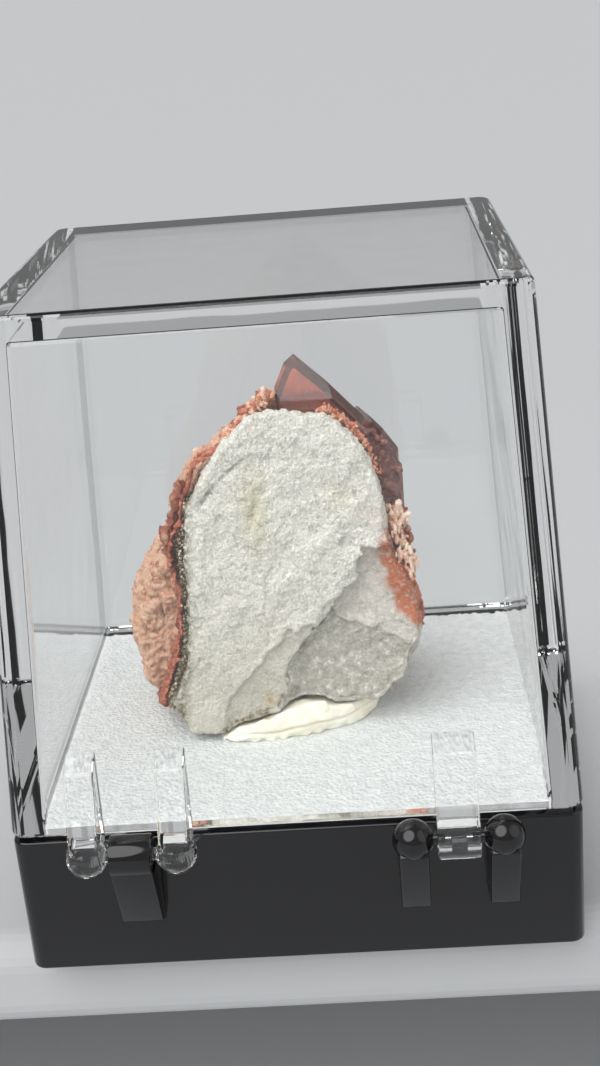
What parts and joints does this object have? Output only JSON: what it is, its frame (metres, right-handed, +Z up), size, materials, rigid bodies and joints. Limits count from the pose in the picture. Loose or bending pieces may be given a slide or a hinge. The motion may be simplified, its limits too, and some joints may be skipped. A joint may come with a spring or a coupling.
{
  "type": "hematoid quartz on matrix in a hinged display box",
  "caption": "Hematite-included quartz crystal on white vein quartz and pink host rock, standing in putty on foam in a small box with a hinged clear lid.",
  "frame": {"origin": "centre of the flat underside of the box, under the middle of its width and depth without the hinge knuckles", "axes": "+Z up out of the box, +X along the hinge axis, +Y away from the hinge, towards the back of the specimen; the broken white face looks towards -Y"},
  "size_m": [0.0412, 0.0415, 0.0491],
  "materials": {
    "black_plastic": "gloss",
    "white_foam": "matte",
    "cream_putty": "satin",
    "pink_host_rock": "matte",
    "white_vein_quartz": "satin",
    "hematoid_quartz": "gloss",
    "clear_plastic": "gloss"
  },
  "bodies": {
    "base": {"box_base": "black_plastic", "foam_pad": "white_foam", "mineral_tack": "cream_putty", "host_rock": "pink_host_rock", "white_quartz": "white_vein_quartz", "hematoid_crystal": "hematoid_quartz"},
    "lid": {"box_lid": "clear_plastic"}
  },
  "joints": [
    {"name": "lid_hinge", "type": "hinge", "parent": "base", "child": "lid", "pos_m": [0, -0.0211, 0.011], "axis": [1, 0, 0], "range_deg": [0, 205]}
  ]
}
